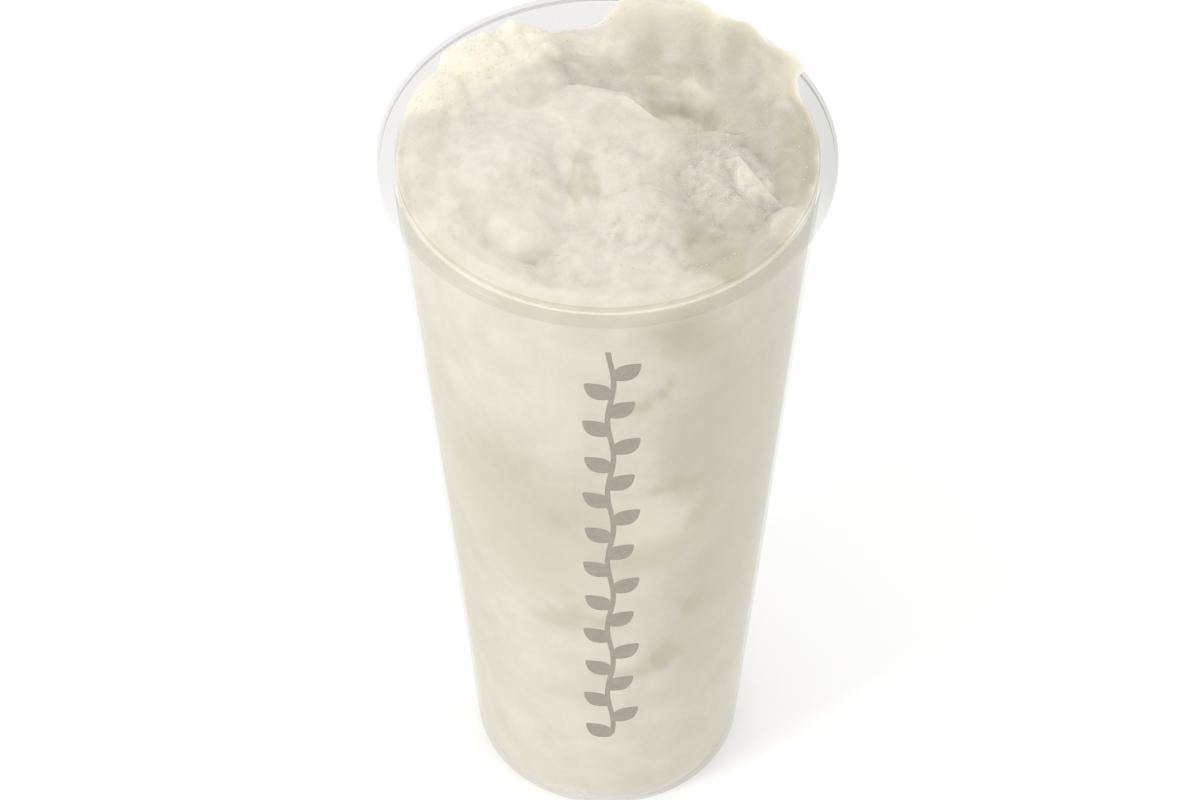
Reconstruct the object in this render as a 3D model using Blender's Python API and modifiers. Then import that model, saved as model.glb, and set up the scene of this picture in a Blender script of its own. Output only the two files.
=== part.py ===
"""Lychee slush in its clear takeaway cup.

Metres, +Z up. The origin is at the middle of the cup's foot, on the table.
X runs to the right and Y away from someone who faces the cup's front.
"""

import math
from collections import namedtuple

import bmesh
import bpy
from mathutils import Vector, noise

OBJECT_NAME = "lychee_slush"
MM = 0.001

# Cup: a straight-sided injection moulded cup with a flat rim
RIM_HEIGHT = 0.175
RIM_RADIUS = 0.045
RIM_DEPTH = 0.0024
RIM_PLATE = 0.0012
RIM_EDGE = 0.0007
SKIRT = 0.0006
LIP = 0.0004
NECK_RADIUS = 0.0421
NECK_HEIGHT = 0.1726
BASE_RADIUS = 0.0283
BASE_CORNER = 0.0022
WALL = 0.0009
FOOT_WIDTH = 0.0022
FOOT_DEPTH = 0.0010
FLOOR_THICKNESS = 0.0012
INNER_CORNER = 0.0030
CUP_STEPS = 80
CORNER_STEPS = 4
RIM_STEPS = 3

# Slush: it fills the cup to a heaped, scooped top
CLEARANCE = 0.00035
SLUSH_STEPS = 108
TOP_RINGS = 34
SIDE_TOP_DROP = 0.009
SOFTENED_RADIUS = 0.040
SOFTENING = 0.5
RIM_GAP = 0.0003
MERGE = 0.00001

# Plain materials, and the angle over which an edge of the slush looks sharp
CUP_COLOUR = (0.88, 0.88, 0.90)
CUP_ROUGHNESS = 0.08
CUP_ALPHA = 0.25
SLUSH_COLOUR = (0.80, 0.77, 0.68)
SLUSH_ROUGHNESS = 0.55
SHARP_DEGREES = 60

# Lumps of the top. Places and sizes are in millimetres, heights are measured
# from the rim's plane, and the turn of the length is in degrees from +X.
Lump = namedtuple("Lump", "name x y top foot half_length half_width turn")

LUMPS = (
    Lump("left_lobe", -19.5, -9.0, 3.4, -5.5, 20.0, 12.0, -76),
    Lump("left_shoulder", -31.0, -4.0, 2.2, -6.0, 25.0, 10.0, 98),
    Lump("left_plateau", -14.0, 7.0, 0.2, -5.0, 24.0, 15.0, -38),
    Lump("middle_plateau", 6.0, -9.0, -0.6, -5.0, 16.0, 15.0, -20),
    Lump("pile_peak", -17.5, 31.5, 2.2, -9.0, 9.0, 6.0, 0),
    Lump("pile_crown", -26.0, 25.5, 2.6, -8.0, 9.5, 8.0, 40),
    Lump("pile_left", -34.0, 15.0, 1.6, -7.0, 12.0, 7.5, 68),
    Lump("pile_front", -19.0, 21.0, 1.2, -7.0, 12.0, 8.5, 12),
    Lump("pile_body", -18.5, 26.5, 1.9, -8.0, 10.5, 8.0, -4),
    Lump("ledge", -1.0, 8.5, 1.2, -7.0, 18.0, 12.5, -18),
    Lump("ledge_tip", 12.0, 2.5, 0.8, -6.0, 12.0, 8.0, -32),
    Lump("ledge_knob", 21.0, 3.5, 0.4, -6.0, 6.0, 4.5, -10),
    Lump("scoop_bump", 10.5, 25.0, -5.4, -12.0, 4.5, 3.0, -10),
    Lump("middle_lump", 0.5, -5.5, 0.6, -5.5, 8.5, 7.0, 10),
    Lump("pocket", -6.5, -10.0, 0.2, -5.5, 10.0, 6.0, 85),
    Lump("middle_front", 8.5, -16.5, 0.2, -5.5, 10.5, 9.0, -25),
    Lump("front_lump", 7.0, -31.0, -0.2, -5.5, 9.0, 7.5, 80),
    Lump("left_fill", -25.0, -22.0, -1.2, -6.0, 8.0, 6.0, 60),
    Lump("front_left", -22.0, -31.0, -0.8, -6.0, 15.0, 8.0, -36),
    Lump("front_bump", -6.0, -29.0, -1.8, -6.0, 5.0, 4.0, 0),
    Lump("ice_lump", 23.0, -7.5, 1.4, -6.0, 12.5, 9.0, -62),
    Lump("right_patch", 21.0, -29.0, -1.4, -7.0, 12.0, 9.0, 30),
    Lump("right_block", 35.5, -19.0, 1.0, -6.0, 6.5, 5.5, 20),
    Lump("right_bank", 37.0, 5.0, -0.2, -8.0, 23.0, 9.0, 80),
)

# The bank heaped along the wall at the back right, with even outlines
BANKS = (
    Lump("back_bank", 14.0, 40.0, 4.3, -9.0, 17.0, 9.5, -10),
    Lump("middle_bank", 27.5, 33.5, 3.4, -9.0, 10.0, 7.0, -42),
    Lump("corner_bank", 33.0, 25.5, 2.9, -9.0, 15.0, 7.2, -50),
)

# Small peaks on the pile at the back left, in the same units
Peak = namedtuple("Peak", "name x y top radius")

PEAKS = (
    Peak("tall", -18.6, 33.4, 4.2, 4.0),
    Peak("left_of_tall", -24.5, 29.8, 3.5, 4.5),
    Peak("right_of_tall", -14.6, 31.2, 3.2, 3.6),
    Peak("far_right", -12.5, 29.0, 2.0, 3.2),
    Peak("far_left", -31.0, 25.4, 2.9, 4.5),
    Peak("near", -21.5, 27.0, 3.4, 4.0),
)

# Scooped hollows, dug down from the rim's plane
Hollow = namedtuple("Hollow", "name x y floor half_length half_width turn slope")

HOLLOWS = (
    Hollow("scoop", 14.0, 18.5, -7.2, 17.5, 9.5, -25, 0.75),
    Hollow("scoop_deep", 14.5, 15.5, -9.8, 14.0, 8.0, -27, 0.6),
)

# The bank laps over the rim at the right. It reaches that far past the wall,
# where it stands high enough, from these radii outwards.
Spill = namedtuple("Spill", "x y reach half_length half_width turn")

SPILL = Spill(37.6, 20.0, 2.8, 8.5, 6.0, -62)
SPILL_SPAN = (0.4, 1.1)
SPILL_RADII = (36.0, 41.0)
SPILL_HEIGHTS = (0.8, 1.8)
SPILL_UNDER = 0.001
SPILL_THICKNESS = 0.6

# Hard ice with flat faces that stands out of the icy lump. A face falls away
# to the direction of its turn, from that reach on.
Shard = namedtuple("Shard", "name x y top")
Face = namedtuple("Face", "turn slope reach")

SHARD = Shard("ice_shard", 25.3, -5.0, 3.8)
SHARD_FACES = (
    Face(115, 1.6, 0.0),
    Face(-59, 0.35, 0.0),
    Face(31, 2.0, 0.0),
    Face(-162, 1.0, 0.0),
    Face(-88, 1.5, 5.6),
)

# How square the lumps are: 2 is an ellipsoid, more has a flatter top. A bank
# slopes away over a span of its outline, and a hollow over its own slope.
LUMP_SQUARENESS = 3.0
OUTSIDE_SLOPE = 4.0
BANK_SPAN = (0.4, 1.25)
BANK_FOOT = -16.0
PEAK_SLOPE = 1.0

# How widely forms blend into what they stand on, in millimetres
LUMP_BLEND = 2.0
BANK_JOIN = 7.0
BANK_BLEND = 4.0
SHARD_BLEND = 0.3
PEAK_BLEND = 0.5
HOLLOW_BLEND = 1.4

# Uneven outlines and surface: sizes and amounts in millimetres, and the seeds
# that set what the noise looks like
WIDE_SIZE = 11.0
WIDE_AMOUNT = 1.8
FINE_SIZE = 4.0
FINE_AMOUNT = 0.8
BUMP_SIZE = 3.2
BUMP_HEIGHT = 0.5
SHIFT_SEEDS = (3.7, 9.2)
BUMP_SEED = 1.3

# Levels of the slush between the lumps: in front, and in the basin behind the
# ledge, which starts and ends over these spans of y and x. Its left side is
# shallower by a share, over spans of its own.
FRONT_LEVEL = -2.0
BASIN_LEVEL = -5.5
BASIN_START_Y = (10.0, 22.0)
BASIN_END_X = (20.0, 30.0)
LEFT_SHARE = 0.6
LEFT_END_X = (-8.0, 4.0)
LEFT_END_Y = (26.0, 36.0)

# Along the wall the slush evens out in front and droops at its very edge,
# except where the banks are heaped against the wall
WALL_LEVEL = -1.6
WALL_SHARE = 0.8
WALL_SPAN = (33.0, 41.0)
WALL_FRONT_Y = (-8.0, 12.0)
DROOP = 1.3
DROOP_SPAN = (37.5, 41.0)
BANK_START_Y = (15.0, 27.0)
BANK_START_X = (-2.0, 3.0)


def remove_objects():
    for item in list(bpy.data.objects):
        bpy.data.objects.remove(item)


def new_collection(name):
    collection = bpy.data.collections.new(name)
    bpy.context.scene.collection.children.link(collection)
    return collection


def new_material(name, colour, roughness, alpha=1.0):
    material = bpy.data.materials.new(name)
    material.use_nodes = True
    shader = material.node_tree.nodes["Principled BSDF"]
    shader.inputs["Base Color"].default_value = (*colour, 1.0)
    shader.inputs["Roughness"].default_value = roughness
    shader.inputs["Alpha"].default_value = alpha
    return material


def arc(centre_r, centre_z, radius, start, end, steps):
    """Points of a round corner in the r, z plane, angles in degrees."""
    points = []
    for step in range(steps + 1):
        angle = math.radians(start + (end - start) * step / steps)
        r = centre_r + radius * math.cos(angle)
        z = centre_z + radius * math.sin(angle)
        points.append((r, z))
    return points


def outer_radius(height):
    """Radius of the cup's straight outer wall at a height."""
    return BASE_RADIUS + (NECK_RADIUS - BASE_RADIUS) * height / NECK_HEIGHT


def inner_radius(height):
    return outer_radius(height) - WALL


def cup_profile():
    """The cup's section: up the inside, over the rim and down the outside."""
    floor_top = FOOT_DEPTH + FLOOR_THICKNESS
    corner_z = floor_top + INNER_CORNER
    corner_r = inner_radius(corner_z) - INNER_CORNER
    points = [(0.0, floor_top)]
    points += arc(corner_r, corner_z, INNER_CORNER, -90, 0, CORNER_STEPS)
    points.append((inner_radius(RIM_HEIGHT - LIP), RIM_HEIGHT - LIP))
    points.append((inner_radius(RIM_HEIGHT) + LIP, RIM_HEIGHT))
    points += arc(RIM_RADIUS - RIM_EDGE, RIM_HEIGHT - RIM_EDGE, RIM_EDGE, 90, 0, RIM_STEPS)
    points.append((RIM_RADIUS, RIM_HEIGHT - RIM_DEPTH))
    points.append((RIM_RADIUS - SKIRT, RIM_HEIGHT - RIM_DEPTH))
    under = RIM_HEIGHT - RIM_PLATE
    points.append((RIM_RADIUS - SKIRT, under))
    points.append((outer_radius(under) + SKIRT, under))
    points.append((outer_radius(under - SKIRT), under - SKIRT))
    corner_r = outer_radius(BASE_CORNER) - BASE_CORNER
    points += arc(corner_r, BASE_CORNER, BASE_CORNER, 0, -90, CORNER_STEPS)
    foot_inner = outer_radius(0.0) - BASE_CORNER - FOOT_WIDTH
    points.append((foot_inner, 0.0))
    points.append((foot_inner - FOOT_DEPTH, FOOT_DEPTH))
    points.append((0.0, FOOT_DEPTH))
    return points


def turned_object(name, profile, steps, collection):
    """A profile in the XZ plane turned round Z by a Screw modifier."""
    mesh = bpy.data.meshes.new(name)
    vertices = [(r, 0.0, z) for r, z in profile]
    edges = [(index, index + 1) for index in range(len(vertices) - 1)]
    mesh.from_pydata(vertices, edges, [])
    item = bpy.data.objects.new(name, mesh)
    collection.objects.link(item)
    screw = item.modifiers.new("Turn", "SCREW")
    screw.axis = "Z"
    screw.steps = steps
    screw.render_steps = steps
    screw.use_merge_vertices = True
    screw.merge_threshold = MERGE
    return item


def smooth_max(a, b, blend):
    """The greater of two heights, with a soft change from one to the other."""
    share = min(max(0.5 + 0.5 * (a - b) / blend, 0.0), 1.0)
    return b + (a - b) * share + blend * share * (1.0 - share)


def ease(value, low, high):
    """0 below low, 1 above high and a smooth step between."""
    share = min(max((value - low) / (high - low), 0.0), 1.0)
    return share * share * (3.0 - 2.0 * share)


def ellipse_distance(x, y, shape):
    """0 at the middle of a lump or hollow and 1 on its outline."""
    turn = math.radians(shape.turn)
    dx = x - shape.x
    dy = y - shape.y
    along = dx * math.cos(turn) + dy * math.sin(turn)
    across = dy * math.cos(turn) - dx * math.sin(turn)
    return math.hypot(along / shape.half_length, across / shape.half_width)


def dome(distance, squareness):
    """A rounded top that is 1 at its middle and drops away outside."""
    if distance < 1.0:
        return math.sqrt(1.0 - distance ** squareness)
    return OUTSIDE_SLOPE * (1.0 - distance)


def bank_rise(distance):
    """A flat top that runs out in an even slope."""
    return 1.0 - ease(distance, *BANK_SPAN)


def lump_rise(distance):
    return dome(distance, LUMP_SQUARENESS)


def heap(height, x, y, lumps, rise, blend):
    """The height with lumps heaped on it."""
    for lump in lumps:
        share = rise(ellipse_distance(x, y, lump))
        height = smooth_max(height, lump.foot + (lump.top - lump.foot) * share, blend)
    return height


def dig(height, x, y):
    """The height with the hollows dug into it."""
    for hollow in HOLLOWS:
        distance = ellipse_distance(x, y, hollow)
        if distance < 1.0:
            bottom = hollow.floor * (1.0 - ease(distance, 1.0 - hollow.slope, 1.0))
            height = -smooth_max(-height, -bottom, HOLLOW_BLEND)
    return height


def ragged(x, y, size, amount):
    """Moves a point sideways, so that outlines turn out uneven."""
    shift_x = noise.noise(Vector((x / size, y / size, SHIFT_SEEDS[0])))
    shift_y = noise.noise(Vector((x / size, y / size, SHIFT_SEEDS[1])))
    return x + shift_x * amount, y + shift_y * amount


def open_level(x, y):
    """Height of the slush between the lumps."""
    basin = ease(y, *BASIN_START_Y) * (1.0 - ease(x, *BASIN_END_X))
    left = (1.0 - ease(x, *LEFT_END_X)) * (1.0 - ease(y, *LEFT_END_Y))
    return FRONT_LEVEL + (BASIN_LEVEL - FRONT_LEVEL) * basin * (1.0 - LEFT_SHARE * left)


def shard_height(x, y):
    """The pointed stone of ice: each face falls away from its top as a plane."""
    drop = 0.0
    for face in SHARD_FACES:
        angle = math.radians(face.turn)
        away = (x - SHARD.x) * math.cos(angle) + (y - SHARD.y) * math.sin(angle)
        drop = max(drop, (away - face.reach) * face.slope)
    return SHARD.top - drop


def top_height(x, y):
    """Height of the slush over the rim's plane, all in millimetres."""
    wide_x, wide_y = ragged(x, y, WIDE_SIZE, WIDE_AMOUNT)
    fine_x, fine_y = ragged(wide_x, wide_y, FINE_SIZE, FINE_AMOUNT)
    height = heap(open_level(x, y), fine_x, fine_y, LUMPS, lump_rise, LUMP_BLEND)
    banks = heap(BANK_FOOT, x, y, BANKS, bank_rise, BANK_JOIN)
    height = smooth_max(height, banks, BANK_BLEND)
    height = smooth_max(height, shard_height(x, y), SHARD_BLEND)
    for peak in PEAKS:
        away = math.hypot(fine_x - peak.x, fine_y - peak.y)
        if away < peak.radius:
            height = smooth_max(height, peak.top - away * PEAK_SLOPE, PEAK_BLEND)
    height = dig(height, fine_x, fine_y)
    height += BUMP_HEIGHT * noise.noise(Vector((x / BUMP_SIZE, y / BUMP_SIZE, BUMP_SEED)))
    radius = math.hypot(x, y)
    at_front_wall = ease(radius, *WALL_SPAN) * ease(-y, *WALL_FRONT_Y)
    height += (WALL_LEVEL + DROOP - height) * WALL_SHARE * at_front_wall
    banked = ease(y, *BANK_START_Y) * ease(x, *BANK_START_X)
    return height - DROOP * ease(radius, *DROOP_SPAN) * (1.0 - banked)


def spill_reach(x, y, height):
    """How far the slush laps out over the rim, in millimetres."""
    share = 1.0 - ease(ellipse_distance(x, y, SPILL), *SPILL_SPAN)
    outer = ease(math.hypot(x, y), *SPILL_RADII)
    return SPILL.reach * share * outer * ease(height, *SPILL_HEIGHTS)


def slush_profile():
    """The slush's section: out over the flat top, down the wall, in below."""
    floor = FOOT_DEPTH + FLOOR_THICKNESS + CLEARANCE
    corner_z = floor + INNER_CORNER
    corner_r = inner_radius(corner_z) - CLEARANCE - INNER_CORNER
    top_radius = inner_radius(RIM_HEIGHT) - CLEARANCE
    points = []
    for ring in range(TOP_RINGS + 1):
        points.append((top_radius * ring / TOP_RINGS, RIM_HEIGHT))
    points.append((top_radius, RIM_HEIGHT - SPILL_UNDER))
    side_top = RIM_HEIGHT - SIDE_TOP_DROP
    points.append((inner_radius(side_top) - CLEARANCE, side_top))
    points += arc(corner_r, corner_z, INNER_CORNER, 0, -90, CORNER_STEPS)
    points.append((0.0, floor))
    return points


def lay_on_relief(vertex):
    """Moves a point of the flat top, or of the ring under its edge, into place."""
    x, y = vertex.co.xy / MM
    height = top_height(x, y)
    reach = spill_reach(x, y, height)
    if vertex.co.z < RIM_HEIGHT - MERGE:
        height = min(height - SPILL_THICKNESS, RIM_GAP / MM)
        reach = 0.0
    vertex.co.z = RIM_HEIGHT + height * MM
    limit = inner_radius(min(vertex.co.z, RIM_HEIGHT)) - CLEARANCE
    radius = vertex.co.xy.length
    if radius > 0.0:
        vertex.co.xy *= (min(radius, limit) + reach * MM) / radius


def make_slush(collection):
    """The turned body of slush with its top moved up and down into relief."""
    mesh = bpy.data.meshes.new("slush")
    bm = bmesh.new()
    vertices = [bm.verts.new((r, 0.0, z)) for r, z in slush_profile()]
    edges = [bm.edges.new(pair) for pair in zip(vertices, vertices[1:])]
    bmesh.ops.spin(
        bm,
        geom=vertices + edges,
        cent=(0.0, 0.0, 0.0),
        axis=(0.0, 0.0, 1.0),
        angle=math.tau,
        steps=SLUSH_STEPS,
        use_merge=True,
    )
    bmesh.ops.remove_doubles(bm, verts=bm.verts, dist=MERGE)
    top_vertices = [v for v in bm.verts if v.co.z > RIM_HEIGHT - MERGE]
    inner = [v for v in top_vertices if v.co.xy.length < SOFTENED_RADIUS]
    for vertex in bm.verts:
        if vertex.co.z > RIM_HEIGHT - SPILL_UNDER - MERGE:
            lay_on_relief(vertex)
    bmesh.ops.smooth_vert(bm, verts=inner, factor=SOFTENING, use_axis_z=True)
    bmesh.ops.recalc_face_normals(bm, faces=bm.faces)
    bmesh.ops.triangulate(bm, faces=bm.faces)
    bm.to_mesh(mesh)
    bm.free()
    item = bpy.data.objects.new("slush", mesh)
    collection.objects.link(item)
    return item


def shade(item, sharp_degrees):
    item.data.shade_smooth()
    item.data.set_sharp_from_angle(angle=math.radians(sharp_degrees))


def main():
    remove_objects()
    collection = new_collection(OBJECT_NAME)
    cup = turned_object("cup", cup_profile(), CUP_STEPS, collection)
    plastic = new_material("clear_plastic", CUP_COLOUR, CUP_ROUGHNESS, CUP_ALPHA)
    cup.data.materials.append(plastic)
    slush = make_slush(collection)
    ice = new_material("milky_ice", SLUSH_COLOUR, SLUSH_ROUGHNESS)
    slush.data.materials.append(ice)
    shade(slush, SHARP_DEGREES)


main()
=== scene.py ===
"""Looks of a lychee slush in its clear takeaway cup, laid out as an add-on."""

import math
import random
from collections import namedtuple

import bmesh
import bpy
import numpy as np
from bpy.props import FloatProperty, FloatVectorProperty, IntProperty, PointerProperty
from mathutils import Euler, Matrix, Vector, noise
from mathutils.bvhtree import BVHTree


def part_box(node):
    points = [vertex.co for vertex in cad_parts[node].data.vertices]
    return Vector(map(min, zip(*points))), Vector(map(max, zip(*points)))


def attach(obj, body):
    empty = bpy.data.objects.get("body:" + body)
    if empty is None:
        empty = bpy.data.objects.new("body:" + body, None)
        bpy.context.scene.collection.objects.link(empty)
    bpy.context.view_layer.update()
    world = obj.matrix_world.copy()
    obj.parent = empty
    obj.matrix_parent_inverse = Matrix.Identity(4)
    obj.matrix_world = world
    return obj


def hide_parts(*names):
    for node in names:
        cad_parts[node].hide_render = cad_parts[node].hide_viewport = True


bl_info = {
    "name": "Lychee Slush",
    "version": (1, 0, 0),
    "blender": (4, 5, 0),
    "location": "View3D > Sidebar > Slush",
    "description": "Builds a clear takeaway cup heaped with milky lychee slush",
    "category": "Add Mesh",
}

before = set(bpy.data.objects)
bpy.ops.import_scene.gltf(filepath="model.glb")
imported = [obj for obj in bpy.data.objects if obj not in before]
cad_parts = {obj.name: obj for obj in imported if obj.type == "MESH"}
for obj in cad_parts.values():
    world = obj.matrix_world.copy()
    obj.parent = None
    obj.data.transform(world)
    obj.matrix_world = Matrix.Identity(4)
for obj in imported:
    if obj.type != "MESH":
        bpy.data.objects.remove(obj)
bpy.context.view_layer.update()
CUP_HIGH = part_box("cup")[1]
BODY = "root"
MM = 0.001
MERGE = 0.00001

# Heights and radii of the cup, with the rim's read from the frame
RIM_HEIGHT = CUP_HIGH.z
RIM_RADIUS = CUP_HIGH.x
RIM_DEPTH = 0.0024
RIM_PLATE = 0.0012
RIM_EDGE = 0.0008
RIM_SKIRT = 0.0006
LIP = 0.0006
NECK_DROP = 0.0024
BASE_CORNER = 0.0022
FOOT_WIDTH = 0.0022
FOOT_DEPTH = 0.0010
FLOOR_THICKNESS = 0.0012
INNER_CORNER = 0.0030
CUP_STEPS = 256

# Where the plastic is tinted more: from the flange's inner radius on, where it is
# thicker, and in the band under the rim towards the back, by y and by height. The
# tint changes towards the right and the back over spans of x and y; the darker
# tints of that band and of the rim at the back and at the right are painted shade.
FLANGE_RADII = (0.0425, 0.0435)
SHADE_BAND_Y = (-0.032, -0.010)
SHADE_BAND_HEIGHTS = (0.160, 0.170)
RIGHT_SHADE_X = (0.030, 0.044)
BACK_SHADE_Y = (-0.030, -0.005)

# How far the slush reaches into the wall, how finely it is turned, and how far
# under its edge its lapping underside and its plain side start
INTO_WALL = 0.00025
SLUSH_STEPS = 400
TOP_RINGS = 124
SIDE_RINGS = 56
SPILL_UNDER = 0.001
SIDE_TOP_DROP = 0.009

# Lumps of slush, the same as the solid's: places and sizes in millimetres,
# heights over the rim's plane, the turn in degrees from +X
Lump = namedtuple("Lump", "name x y top foot half_length half_width turn")

LUMPS = (
    Lump("left_lobe", -19.5, -9.0, 3.4, -5.5, 20.0, 12.0, -76),
    Lump("left_shoulder", -31.0, -4.0, 2.2, -6.0, 25.0, 10.0, 98),
    Lump("left_plateau", -14.0, 7.0, 0.2, -5.0, 24.0, 15.0, -38),
    Lump("middle_plateau", 6.0, -9.0, -0.6, -5.0, 16.0, 15.0, -20),
    Lump("pile_peak", -17.5, 31.5, 2.2, -9.0, 9.0, 6.0, 0),
    Lump("pile_crown", -26.0, 25.5, 2.6, -8.0, 9.5, 8.0, 40),
    Lump("pile_left", -34.0, 15.0, 1.6, -7.0, 12.0, 7.5, 68),
    Lump("pile_front", -19.0, 21.0, 1.2, -7.0, 12.0, 8.5, 12),
    Lump("pile_body", -18.5, 26.5, 1.9, -8.0, 10.5, 8.0, -4),
    Lump("ledge", -1.0, 8.5, 1.2, -7.0, 18.0, 12.5, -18),
    Lump("ledge_tip", 12.0, 2.5, 0.8, -6.0, 12.0, 8.0, -32),
    Lump("ledge_knob", 21.0, 3.5, 0.4, -6.0, 6.0, 4.5, -10),
    Lump("scoop_bump", 10.5, 25.0, -5.4, -12.0, 4.5, 3.0, -10),
    Lump("middle_lump", 0.5, -5.5, 0.6, -5.5, 8.5, 7.0, 10),
    Lump("pocket", -6.5, -10.0, 0.2, -5.5, 10.0, 6.0, 85),
    Lump("middle_front", 8.5, -16.5, 0.2, -5.5, 10.5, 9.0, -25),
    Lump("front_lump", 7.0, -31.0, -0.2, -5.5, 9.0, 7.5, 80),
    Lump("left_fill", -25.0, -22.0, -1.2, -6.0, 8.0, 6.0, 60),
    Lump("front_left", -22.0, -31.0, -0.8, -6.0, 15.0, 8.0, -36),
    Lump("front_bump", -6.0, -29.0, -1.8, -6.0, 5.0, 4.0, 0),
    Lump("ice_lump", 23.0, -7.5, 1.4, -6.0, 12.5, 9.0, -62),
    Lump("right_patch", 21.0, -29.0, -1.4, -7.0, 12.0, 9.0, 30),
    Lump("right_block", 35.5, -19.0, 1.0, -6.0, 6.5, 5.5, 20),
    Lump("right_bank", 37.0, 5.0, -0.2, -8.0, 23.0, 9.0, 80),
)

# The bank heaped along the back wall at the right. Each part slopes away over a
# span of its outline.
BANKS = (
    Lump("back_bank", 14.0, 40.0, 4.3, -9.0, 17.0, 9.5, -10),
    Lump("middle_bank", 27.5, 33.5, 3.4, -9.0, 10.0, 7.0, -42),
    Lump("corner_bank", 33.0, 25.5, 2.9, -9.0, 15.0, 7.2, -50),
)
BANK_SPAN = (0.4, 1.25)
BANK_FOOT = -16.0

# Scooped hollows, dug down from the rim's plane
Hollow = namedtuple("Hollow", "name x y floor half_length half_width turn slope")

HOLLOWS = (
    Hollow("scoop", 14.0, 18.5, -7.2, 17.5, 9.5, -25, 0.75),
    Hollow("scoop_deep", 14.5, 15.5, -9.8, 14.0, 8.0, -27, 0.6),
)

# A hard piece of ice with flat faces that stands out of the icy lump. A face
# falls away to its turn, from its reach on.
Shard = namedtuple("Shard", "name x y top")
Face = namedtuple("Face", "turn slope reach")

SHARD = Shard("ice_shard", 25.3, -5.0, 3.8)
SHARD_FACES = (
    Face(115, 1.6, 0.0),
    Face(-59, 0.35, 0.0),
    Face(31, 2.0, 0.0),
    Face(-162, 1.0, 0.0),
    Face(-88, 1.5, 5.6),
)

# The bank laps over the rim at the right, in millimetres: how far, over which
# span of its outline, from which radii on, and where it stands how high. It is
# at least that thick there, and lies that far above the rim.
Spill = namedtuple("Spill", "x y reach half_length half_width turn")

SPILL = Spill(37.6, 20.0, 2.8, 8.5, 6.0, -62)
SPILL_SPAN = (0.4, 1.1)
SPILL_RADII = (36.0, 41.0)
SPILL_HEIGHTS = (0.8, 1.8)
SPILL_THICKNESS = 0.6
RIM_GAP = 0.1

# Small sharp peaks, cone-shaped, in the same units
Peak = namedtuple("Peak", "name x y top radius")

PEAKS = (
    Peak("tall", -18.6, 33.4, 4.2, 4.0),
    Peak("left_of_tall", -24.5, 29.8, 3.5, 4.5),
    Peak("right_of_tall", -14.6, 31.2, 3.2, 3.6),
    Peak("far_right", -12.5, 29.0, 2.0, 3.2),
    Peak("far_left", -31.0, 25.4, 2.9, 4.5),
    Peak("near", -21.5, 27.0, 3.4, 4.0),
)
PEAK_SLOPE = 1.0

# How square the lumps are: 2 is an ellipsoid, more has a flatter top
LUMP_SQUARENESS = 3.0
OUTSIDE_SLOPE = 4.0

# How widely forms blend into what they stand on, in millimetres
LUMP_BLEND = 2.0
BANK_JOIN = 7.0
BANK_BLEND = 4.0
SHARD_BLEND = 0.3
PEAK_BLEND = 0.5
HOLLOW_BLEND = 1.4

# Bumps all over the top, in millimetres
BUMP_SIZE = 3.2
BUMP_HEIGHT = 0.5

# Uneven outlines, from wide waves to fine ones: the size of each and how far it
# shifts a point, in millimetres
LUMP_WAVES = ((11.0, 1.8), (4.0, 0.8), (1.4, 0.2))
PATCH_WAVES = ((5.0, 2.5), (1.8, 0.9))
SIDE_WAVES = ((9.0, 5.0), (3.5, 2.0))

# Where each wave is cut from the noise, so that no two match
SHIFT_CUTS = (3.7, 9.2)
BUMP_CUT = 1.3

# Grain of the ice: sizes, heights and cuts of its waves, and how rough it is by
# kind. Crystals stand out of it like cells, with an edge at a share of a cell.
GRAIN_WAVES = ((1.7, 0.22, 5.1), (0.8, 0.16, 2.4))
PLAIN_GRAIN = 0.35
GRAIN_SHARES = {"ice": 0.9, "cream": 0.35, "melt": -0.2}
CRYSTAL_SIZE = 2.1
CRYSTAL_HEIGHT = 0.55
CRYSTAL_EDGE = 0.45
PLAIN_CRYSTAL = 0.25

# Levels of the slush between the lumps: in front, and in the basin behind the
# ledge, which starts and ends over spans of y and x. Its left side is
# shallower by a share, over spans of its own.
FRONT_LEVEL = -2.0
BASIN_LEVEL = -5.5
BASIN_START_Y = (10.0, 22.0)
BASIN_END_X = (20.0, 30.0)
LEFT_SHARE = 0.6
LEFT_END_X = (-8.0, 4.0)
LEFT_END_Y = (26.0, 36.0)

# Along the wall the slush evens out in front and droops at its very edge,
# except where the bank is heaped against the wall
WALL_LEVEL = -1.6
WALL_SHARE = 0.8
WALL_SPAN = (33.0, 41.0)
WALL_FRONT_Y = (-8.0, 12.0)
DROOP = 1.3
DROOP_SPAN = (37.5, 41.0)
BANK_START_Y = (15.0, 27.0)
BANK_START_X = (-2.0, 3.0)

# Where the top is creamy, melted or icy, and where shade is painted on it: places
# and sizes in millimetres, seen from above. The shade patches are painted shade on
# the right, the left shoulder, the hollow, the corner and the back bank, and two
# melt patches are painted shade as marked
Patch = namedtuple("Patch", "kind x y half_length half_width turn strength")

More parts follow.
